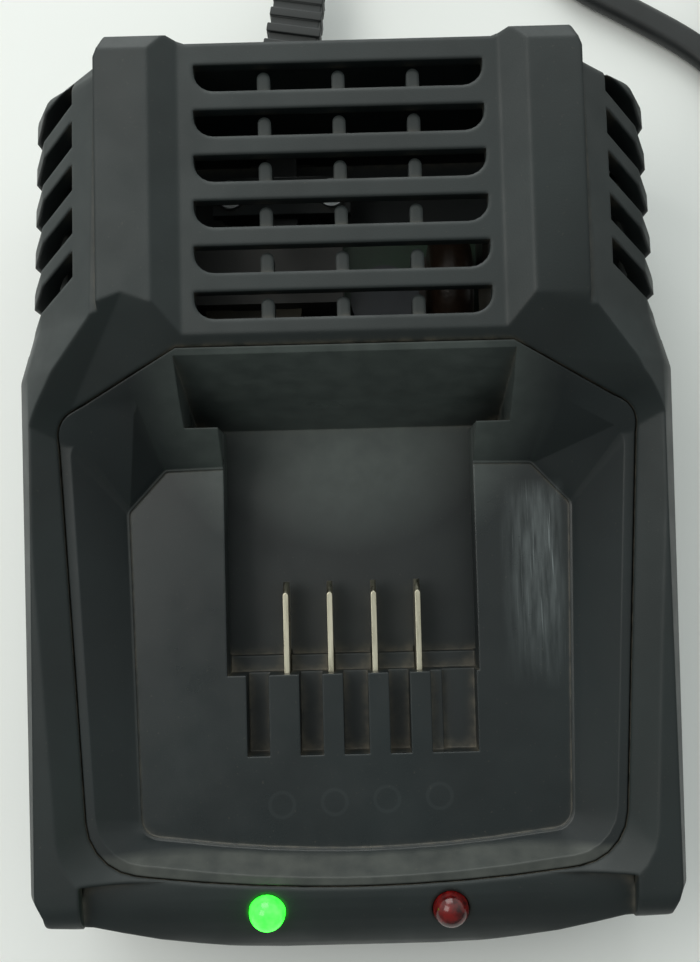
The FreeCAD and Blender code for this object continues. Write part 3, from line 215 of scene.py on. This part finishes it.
# Docking plate
# ABS insert with the battery bowl, the landing pad and the slide, screwed to the case's top. Batteries
# have polished the pad and left light scratches near its right edge. Four round marks stay plain rings.
def near(material, point, full, none):
    """One within full of a point, nought beyond none."""
    place = add_node(material, "ShaderNodeTexCoord", {}, "Object")
    away = add_node(material, "ShaderNodeVectorMath", {0: place, 1: point}, "Value", operation="DISTANCE")
    return add_node(material, "ShaderNodeMapRange",
                    {"Value": away, "From Min": full, "From Max": none, "To Min": 1.0, "To Max": 0.0})


def between(material, place, start, full, last, end):
    """One from full to last along an axis, fading to nought at start and at end, in millimetres."""
    rise = add_node(material, "ShaderNodeMapRange",
                    {"Value": place, "From Min": start * millimetre, "From Max": full * millimetre})
    fall = add_node(material, "ShaderNodeMapRange",
                    {"Value": place, "From Min": last * millimetre, "From Max": end * millimetre,
                     "To Min": 1.0, "To Max": 0.0})
    return add_node(material, "ShaderNodeMath", {0: rise, 1: fall}, operation="MULTIPLY")


plate_abs, plate_colour, plate_roughness = moulded_plastic("ABS, worn by use", "#101719", "#151e20",
                                                           0.46, 0.58, 0.8)
plate_place = add_node(plate_abs, "ShaderNodeTexCoord", {}, "Object")
across = add_node(plate_abs, "ShaderNodeSeparateXYZ", {0: plate_place}, "X")
along = add_node(plate_abs, "ShaderNodeSeparateXYZ", {0: plate_place}, "Y")
up = add_node(plate_abs, "ShaderNodeSeparateXYZ", {0: plate_place}, "Z")

# Scratches and a rubbed haze beside the right edge of the pad. Both run from front to rear, as the
# battery slides.
rubbed = add_node(plate_abs, "ShaderNodeMath",
                  {0: between(plate_abs, across, 21.5, 26.5, 29.2, 31.2),
                   1: between(plate_abs, along, -26.0, -12.0, 1.5, 4.5)}, operation="MULTIPLY")
scratches = pattern(plate_abs, 1.2 * millimetre, 6.0, (0.22, 9.0, 1.0))
scratches = add_node(plate_abs, "ShaderNodeMapRange",
                     {"Value": scratches, "From Min": 0.58, "From Max": 0.7, "To Max": 0.5})
haze = pattern(plate_abs, 1.8 * millimetre, 7.0, (0.45, 4.0, 1.0))
haze = add_node(plate_abs, "ShaderNodeMapRange",
                {"Value": haze, "From Min": 0.3, "From Max": 0.7, "To Min": 0.02, "To Max": 0.3})
marks = add_node(plate_abs, "ShaderNodeMath", {0: scratches, 1: haze}, operation="MAXIMUM")
marks = add_node(plate_abs, "ShaderNodeMath", {0: marks, 1: rubbed}, operation="MULTIPLY")

# Four faint rings near the front.
ring_strength = 0.018
for number in range(4):
    middle = Vector((-10.6 + 7.5 * number, -41.3 + 0.25 * number, 26.65)) * millimetre
    disc = near(plate_abs, middle, 1.9 * millimetre, 2.1 * millimetre)
    hole = near(plate_abs, middle, 1.4 * millimetre, 1.6 * millimetre)
    ring = add_node(plate_abs, "ShaderNodeMath", {0: disc, 1: hole}, operation="SUBTRACT")
    ring = add_node(plate_abs, "ShaderNodeMath", {0: ring, 1: ring_strength}, operation="MULTIPLY")
    marks = add_node(plate_abs, "ShaderNodeMath", {0: marks, 1: ring}, operation="MAXIMUM")
plate_colour = add_node(plate_abs, "ShaderNodeMix", {0: marks, 6: plate_colour, 7: linear("#9aa3a5")}, 2,
                        data_type="RGBA")

# A thin veil of dust on the recess under the hump, where no battery rubs it off. It is also painted light: it
# spreads wide and pale down the rear wall of the recess, lifting the shade that falls there.
dust_and_light_noise = pattern(plate_abs, 3.0 * millimetre, 6.0)
veil_patches = add_node(plate_abs, "ShaderNodeMapRange",
                        {"Value": dust_and_light_noise, "From Min": 0.3, "From Max": 0.7, "To Min": 0.42,
                         "To Max": 0.62})
# Painted light and dust: the rear of the recess is mixed towards a pale grey-green, reaching down where shade
# falls.
veil_dust_and_painted_light = near(plate_abs, Vector((0.0, 19.0, 34.0)) * millimetre, 19.0 * millimetre, 30.0 * millimetre)
veil_dust_and_painted_light = add_node(plate_abs, "ShaderNodeMath", {0: veil_dust_and_painted_light, 1: veil_patches}, operation="MULTIPLY")
plate_colour = add_node(plate_abs, "ShaderNodeMix", {0: veil_dust_and_painted_light, 6: plate_colour, 7: linear("#6d7673")}, 2,
                        data_type="RGBA")

# More dust on the slope in front of the pad. Its paleness is partly painted light from the window behind,
# which this slope faces.
lip_patches = add_node(plate_abs, "ShaderNodeMapRange",
                       {"Value": dust_and_light_noise, "From Min": 0.3, "From Max": 0.7, "To Min": 0.5})
in_front = add_node(plate_abs, "ShaderNodeMapRange",
                    {"Value": along, "From Min": -47.5 * millimetre, "From Max": -46.5 * millimetre,
                     "To Min": 0.2, "To Max": 0.0})
above_pad = add_node(plate_abs, "ShaderNodeMapRange",
                     {"Value": up, "From Min": 27.0 * millimetre, "From Max": 28.0 * millimetre})
lip_dust_and_painted_light = add_node(plate_abs, "ShaderNodeMath", {0: in_front, 1: above_pad}, operation="MULTIPLY")
lip_dust_and_painted_light = add_node(plate_abs, "ShaderNodeMath", {0: lip_dust_and_painted_light, 1: lip_patches}, operation="MULTIPLY")
# Painted light and dust: the slope in front of the pad is mixed towards a pale grey.
plate_colour = add_node(plate_abs, "ShaderNodeMix", {0: lip_dust_and_painted_light, 6: plate_colour, 7: linear("#8d8f86")}, 2,
                        data_type="RGBA")

# The pad is smoother than the rest, so it mirrors the room a little.
polish = between(plate_abs, up, 24.5, 25.5, 27.2, 28.2)
polish = add_node(plate_abs, "ShaderNodeMath", {0: polish, 1: 0.2}, operation="MULTIPLY")
plate_roughness = add_node(plate_abs, "ShaderNodeMath", {0: plate_roughness, 1: polish},
                           operation="SUBTRACT")
plate_grain = pattern(plate_abs, 0.2 * millimetre, 3.0)
surface(plate_abs, {"Base Color": plate_colour, "Roughness": plate_roughness, "IOR": 1.54},
        plate_grain, 0.01 * millimetre, edge=0.35 * millimetre)
finished_copy("docking_plate", "dock_insert", plate_abs, smooth=24.0)


# Spade contacts
# Four blades stamped from brass strip and tin plated, gripped by a block on the circuit board. Batteries
# rub the plating along its length, so it is streaked and half bright.
tin = bpy.data.materials.new("Tin plating")
tin.use_nodes = True
tin_streaks = pattern(tin, 0.6 * millimetre, 4.0, (1.0, 8.0, 1.0))
tin_shade = add_node(tin, "ShaderNodeMapRange", {"Value": tin_streaks, "From Min": 0.3, "From Max": 0.7})
tin_colour = add_node(tin, "ShaderNodeMix", {0: tin_shade, 6: linear("#c9c2ac"), 7: linear("#e2dcc8")}, 2,
                      data_type="RGBA")
tin_roughness = add_node(tin, "ShaderNodeMapRange",
                         {"Value": tin_streaks, "From Min": 0.3, "From Max": 0.7, "To Min": 0.24,
                          "To Max": 0.4})
surface(tin, {"Base Color": tin_colour, "Roughness": tin_roughness, "Metallic": 1.0},
        tin_streaks, 0.004 * millimetre)
for number in range(1, 5):
    finished_copy("terminal_blade_%d" % number, "contact_%d" % number, tin,
                  0.07 * millimetre)


# Indicator lamps
# Two 5 mm lamps of coloured epoxy, cast in smooth moulds, stand through holes in the front bar. The green
# one is lit and glows all through. The red one is off, so only its dark, glossy body shows.
green_epoxy = bpy.data.materials.new("Green epoxy, lit")
green_epoxy.use_nodes = True
green_patch = pattern(green_epoxy, 1.2 * millimetre, 2.0)
green_colour = add_node(green_epoxy, "ShaderNodeMix",
                        {0: green_patch, 6: linear("#0bd61a"), 7: linear("#3cff3a")}, 2, data_type="RGBA")
green_roughness = add_node(green_epoxy, "ShaderNodeMapRange",
                           {"Value": green_patch, "From Min": 0.3, "From Max": 0.7, "To Min": 0.12,
                            "To Max": 0.2})
surface(green_epoxy, {"Base Color": green_colour, "Roughness": green_roughness, "IOR": 1.53,
                      "Emission Color": green_colour, "Emission Strength": 4.0})
finished_copy("lamp_green", "green_lamp_body", green_epoxy, smooth=50.0)
red_epoxy = bpy.data.materials.new("Red epoxy, unlit")
red_epoxy.use_nodes = True
red_patch = pattern(red_epoxy, 1.2 * millimetre, 3.0)
red_shade = add_node(red_epoxy, "ShaderNodeMapRange",
                     {"Value": red_patch, "From Min": 0.35, "From Max": 0.65})
red_colour = add_node(red_epoxy, "ShaderNodeMix",
                      {0: red_shade, 6: linear("#2c0405"), 7: linear("#6a0f0e")}, 2, data_type="RGBA")
red_roughness = add_node(red_epoxy, "ShaderNodeMapRange",
                         {"Value": red_patch, "From Min": 0.3, "From Max": 0.7, "To Min": 0.1,
                          "To Max": 0.18})
surface(red_epoxy, {"Base Color": red_colour, "Roughness": red_roughness, "IOR": 1.53})
finished_copy("lamp_red", "red_lamp_body", red_epoxy, smooth=50.0)


# Feet
# Four discs of soft rubber, cut from sheet and glued into shallow recesses of the base. Rubber has no
# gloss to speak of.
def fine_finish(name, dark, light, patch, smoothest, roughest, grain, depth, shader):
    """Material with slightly uneven colour and roughness and a fine relief, its lengths in millimetres."""
    material = bpy.data.materials.new(name)
    material.use_nodes = True
    uneven = pattern(material, patch * millimetre, 3.0)
    shade = add_node(material, "ShaderNodeMapRange", {"Value": uneven, "From Min": 0.3, "From Max": 0.7})
    colour = add_node(material, "ShaderNodeMix", {0: shade, 6: linear(dark), 7: linear(light)}, 2,
                      data_type="RGBA")
    roughness = add_node(material, "ShaderNodeMapRange",
                         {"Value": uneven, "From Min": 0.3, "From Max": 0.7, "To Min": smoothest,
                          "To Max": roughest})
    inputs = {"Base Color": colour, "Roughness": roughness}
    inputs.update(shader)
    return surface(material, inputs, pattern(material, grain * millimetre), depth * millimetre)


foot_rubber = fine_finish("Rubber", "#151515", "#1c1c1b", 4.0, 0.75, 0.88, 0.3, 0.02, {"IOR": 1.52})
finished_copy("rubber_feet", "feet", foot_rubber, 0.3 * millimetre)


# Screws
# Pan-head steel screws with a cross recess, zinc plated, for the case, the docking plate, the boards and
# the clamp. Bright zinc gives a blue-grey, half mirror look.
zinc = fine_finish("Zinc plating", "#9fa3a6", "#c4c7c9", 1.0, 0.28, 0.42, 0.4, 0.004, {"Metallic": 1.0})
for group in ("case_screws_rear", "case_screws_front"):
    finished_copy(group, group + "_shown", zinc, 0.1 * millimetre)
for group in ("dock_screws", "board_screws", "clamp_screws"):
    finished_copy(group, group + "_shown", zinc)


# Strain relief
# Soft PVC sleeve moulded on the lead: a collar held in the rear wall, then square ribs on a narrower
# core. Soft PVC has a dull sheen.
soft_pvc = fine_finish("PVC, soft", "#16191a", "#1d2122", 3.0, 0.5, 0.62, 0.2, 0.012, {"IOR": 1.53})
sleeve = finished_copy("strain_relief", "cord_sleeve", soft_pvc, 0.22 * millimetre)


# Plug
# Flat two-pole plug of PVC moulded round nickel-plated brass pins. It lies beyond the picture. The
# grip is satin, and the pins are bright.
plug_pvc = fine_finish("PVC, plug moulding", "#17191b", "#1e2122", 4.0, 0.42, 0.55, 0.3, 0.012, {"IOR": 1.53})
plug = finished_copy("plug_body", "plug_grip", plug_pvc, 1.1 * millimetre, 4, 25.0)
nickel = fine_finish("Nickel plating", "#b9b7b0", "#d3d1ca", 2.0, 0.18, 0.3, 0.5, 0.003, {"Metallic": 1.0})
for number in (1, 2):
    finished_copy("plug_pin_%d" % number, "pin_%d" % number, nickel, smooth=50.0)


# Tie
# Strap of woven nylon round the put-away turns. The weave is drawn about as coarse as webbing, half a
# millimetre, and looks matt.
nylon = bpy.data.materials.new("Nylon webbing")
nylon.use_nodes = True
weave = pattern(nylon, 0.5 * millimetre, 1.0, (1.0, 0.35, 1.0))
nylon_colour = add_node(nylon, "ShaderNodeMix", {0: weave, 6: linear("#0f1011"), 7: linear("#232527")}, 2,
                        data_type="RGBA")
nylon_roughness = add_node(nylon, "ShaderNodeMapRange",
                           {"Value": weave, "From Min": 0.3, "From Max": 0.7, "To Min": 0.7, "To Max": 0.9})
surface(nylon, {"Base Color": nylon_colour, "Roughness": nylon_roughness, "IOR": 1.5},
        weave, 0.08 * millimetre)
tie = finished_copy("coil_tie", "strap", nylon, 0.2 * millimetre)


# Lead
# Flat two-core flex, extruded in PVC, 4.8 mm wide. It leaves the sleeve, turns behind the charger and
# crosses the picture's upper right corner. The rest is wound in two layers and ends in the plug.
way = Vector((math.sin(math.radians(9.0)), math.cos(math.radians(9.0)), 0.0))
sleeve_root = Vector((-9.6, 62.65, 8.6))
sleeve_length = 25.5
sleeve_end = sleeve_root + way * sleeve_length
route = [
    sleeve_end,
    sleeve_end + way * 11.0,
    Vector((2.9, 107.3, 6.4)),
    Vector((13.2, 111.3, 3.3)),
    Vector((24.2, 109.2, 1.8)),
    Vector((32.6, 101.8, 1.8)),
    Vector((38.2, 90.7, 1.8)),
    Vector((50.0, 84.2, 1.8)),
    Vector((60.5, 77.9, 1.8)),
    Vector((66.4, 71.3, 2.5)),
]

# The coil winds inwards in the lower layer, climbs and turns back outwards in the upper one.
turns = 3.522
spacing = 5.4
entry_angle = 209.0
centre = Vector((105.16, 80.9, 0.0))
inner_radius = 28.8
outer_radius = inner_radius + turns * spacing / 2
lower_height = 2.5
layer_rise = 4.2
upper_height = lower_height + layer_rise
change_turns = 0.25
points_per_turn = 24
count = round(2 * turns * points_per_turn)
stand_off = 1.0 / math.cos(math.pi / points_per_turn)
for step in range(count + 1):
    turned_by = 2 * turns * step / count
    radius = outer_radius - spacing * min(turned_by, 2 * turns - turned_by)
    reverse = max(0.0, change_turns - abs(turned_by - turns))
    radius += spacing * 2 * reverse * reverse
    climb = min(max((turned_by - turns + change_turns) / (2 * change_turns), 0.0), 1.0)
    height = lower_height + layer_rise * climb * climb * (3 - 2 * climb)
    angle = math.radians(entry_angle) + 2 * math.pi * turned_by
    spoke = Vector((math.cos(angle), math.sin(angle), 0.0))
    route.append(centre + spoke * radius * stand_off + Vector((0.0, 0.0, height)))
tail_length = 25.0
angle = math.radians(entry_angle) + 4 * math.pi * turns
spoke = Vector((math.cos(angle), math.sin(angle), 0.0))
last = centre + spoke * outer_radius + Vector((0.0, 0.0, upper_height))
leaving = Vector((-math.sin(angle), math.cos(angle), 0.0)) * outer_radius * 2 * math.pi + spoke * spacing
route[-1] = last
route.append(last + leaving.normalized() * tail_length)

section = bpy.data.curves.new("flat_flex_section", "CURVE")
section.dimensions = "2D"
outline = section.splines.new("POLY")
half_width = 2.4
half_height = 1.6
groove_depth = 0.2
corners = []
for side in (1, -1):
    for step in range(9):
        angle = math.radians(-80.0 + 20.0 * step)
        x = side * (half_width - half_height + half_height * math.cos(angle))
        corners.append((x, side * half_height * math.sin(angle)))
    corners.append((0.0, side * half_height * (1.0 - groove_depth)))
outline.points.add(len(corners) - 1)
for place, (x, y) in zip(outline.points, corners):
    place.co = (x * millimetre, y * millimetre, 0.0, 1.0)
outline.use_cyclic_u = True
section_shape = bpy.data.objects.new("flat_flex_section", section)
bpy.context.scene.collection.objects.link(section_shape)
section_shape.hide_render = True

line = bpy.data.curves.new("mains_lead", "CURVE")
line.dimensions = "3D"
line.twist_mode = "Z_UP"
line.resolution_u = 8
spline = line.splines.new("NURBS")
spline.points.add(len(route) - 1)
for place, point in zip(spline.points, route):
    place.co = (point.x * millimetre, point.y * millimetre, point.z * millimetre, 1.0)
spline.order_u = 3
spline.use_endpoint_u = True
line.bevel_mode = "OBJECT"
line.bevel_object = section_shape
line.use_fill_caps = True
lead = bpy.data.objects.new("mains_lead", line)
bpy.context.scene.collection.objects.link(lead)

# Extruded PVC is smooth, with a long soft highlight.
jacket = fine_finish("PVC, lead jacket", "#17191a", "#202324", 6.0, 0.38, 0.5, 0.4, 0.01, {"IOR": 1.53})
lead.data.materials.append(jacket)
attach(lead, "root")
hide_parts("cord_lead", "cord_coil")


# Parts inside the case
# Soldered, glued and screwed to the boards: transformer, choke, capacitors, sheet and fuse. They are seen
# only through the slots. The tape, the choke's wire and the film capacitor are given dark colours as painted
# shade for the dim inside of the case, so most look dull and dark.
board = fine_finish("Glass-fibre laminate", "#1c3a26", "#2a4c35", 3.0, 0.35, 0.5, 0.3, 0.006, {"IOR": 1.55})
ferrite = fine_finish("Ferrite", "#2a2a29", "#363635", 2.0, 0.6, 0.75, 0.2, 0.01, {"IOR": 1.6})
phenolic = fine_finish("Phenolic moulding", "#262626", "#333231", 3.0, 0.5, 0.65, 0.3, 0.008, {"IOR": 1.5})
# Painted shade: the tape and the enamelled wire are coloured dark brown in place of their own brighter
# colours.
tape_painted_shade = fine_finish("Polyester tape, painted shade", "#332f22", "#433d2c", 4.0, 0.3, 0.45, 0.6, 0.01, {"IOR": 1.57})
winding_wire_painted_shade = fine_finish("Enamelled wire, painted shade", "#241a13", "#31241b", 0.8, 0.3, 0.4, 0.5, 0.04, {"IOR": 1.5})
shrunk_pvc = fine_finish("Shrunk PVC sleeve", "#23262d", "#2f333b", 3.0, 0.3, 0.42, 0.4, 0.006, {"IOR": 1.53})
# Painted shade: the film capacitor is coloured near black in place of its own yellow.
film_capacitor_painted_shade = fine_finish("Film capacitor, painted shade", "#1b1a16", "#25231d", 3.0, 0.35, 0.5, 0.4, 0.006, {"IOR": 1.5})
sheet = fine_finish("Rolled aluminium", "#8e9192", "#a7aaab", 3.0, 0.35, 0.5, 0.4, 0.005, {"Metallic": 1.0})
epoxy = fine_finish("Moulded epoxy", "#0c0c0d", "#141415", 2.0, 0.5, 0.65, 0.2, 0.008, {"IOR": 1.55})
ceramic = fine_finish("Fired ceramic", "#a9a598", "#bdb9ad", 2.0, 0.4, 0.55, 0.3, 0.005, {"IOR": 1.6})
inside = {
    "circuit_board": board,
    "lamp_board": board,
    "terminal_block": phenolic,
    "transformer_core": ferrite,
    "transformer_bobbin": phenolic,
    "transformer_winding": tape_painted_shade,
    "mains_choke": winding_wire_painted_shade,
    "bulk_capacitor": shrunk_pvc,
    "output_capacitors": shrunk_pvc,
    "film_capacitor": film_capacitor_painted_shade,
    "heat_sink": sheet,
    "switching_transistor": epoxy,
    "output_rectifier": epoxy,
    "control_chip": epoxy,
    "fuse": ceramic,
    "cord_clamp": base_abs,
    "inner_cord": jacket,
}
for node, material in inside.items():
    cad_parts[node].data.materials.clear()
    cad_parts[node].data.materials.append(material)


# Table
# Board faced with pale pressed laminate, which carries the charger. It is matt, with a slight grey
# unevenness. It lies a hair lower than the feet, so that the two never share a surface.
bpy.ops.mesh.primitive_plane_add(size=3.0, location=(0.0, 0.0, 0.0))
table = bpy.context.object
table.name = "table_top"
bpy.ops.object.mode_set(mode="EDIT")
bpy.ops.transform.translate(value=(0.0, 0.0, -0.02 * millimetre))
bpy.ops.object.mode_set(mode="OBJECT")
table_face = fine_finish("Table laminate", "#eff1ef", "#f3f4f3", 150.0, 0.45, 0.6, 0.6, 0.01,
                         {"IOR": 1.5})
table.data.materials.append(table_face)


# Light
# Broad daylight from behind and above, weaker from the front. Only the camera sees the space beyond the
# table as plain white.
world = bpy.data.worlds.new("room")
world.use_nodes = True
bpy.context.scene.world = world
direction = add_node(world, "ShaderNodeTexCoord", {}, "Generated")
towards_rear = add_node(world, "ShaderNodeSeparateXYZ", {0: direction}, "Y")
strength = add_node(world, "ShaderNodeMapRange",
                    {"Value": towards_rear, "From Min": -0.35, "From Max": 0.5, "To Min": 0.24,
                     "To Max": 1.02})
room = add_node(world, "ShaderNodeBackground", {"Color": linear("#f4fbf7"), "Strength": strength})
white = add_node(world, "ShaderNodeBackground", {"Color": [1.0, 1.0, 1.0, 1.0], "Strength": 1.0})
seen = add_node(world, "ShaderNodeLightPath", {}, "Is Camera Ray")
choice = add_node(world, "ShaderNodeMixShader", {0: seen, 1: room, 2: white})
world.node_tree.links.new(choice, world.node_tree.nodes["World Output"].inputs["Surface"])


def soft_lamp(name, place, aim, size, power, colour):
    """Square soft light at a place, pointed at aim."""
    bpy.ops.object.light_add(type="AREA", location=place)
    light = bpy.context.object
    light.name = name
    light.data.shape = "SQUARE"
    light.data.size = size
    light.data.energy = power
    light.data.color = linear(colour)[:3]
    light.rotation_euler = (Vector(aim) - Vector(place)).to_track_quat("-Z", "Y").to_euler()


soft_lamp("window", (-0.25, 1.15, 0.5), (0.0, 0.0, 0.02), 0.9, 8.0, "#fafdfb")
soft_lamp("ceiling", (-0.3, 0.1, 0.5), (-0.03, 0.0, 0.02), 0.3, 1.0, "#fdfbf4")

bpy.context.scene.view_settings.view_transform = "Standard"
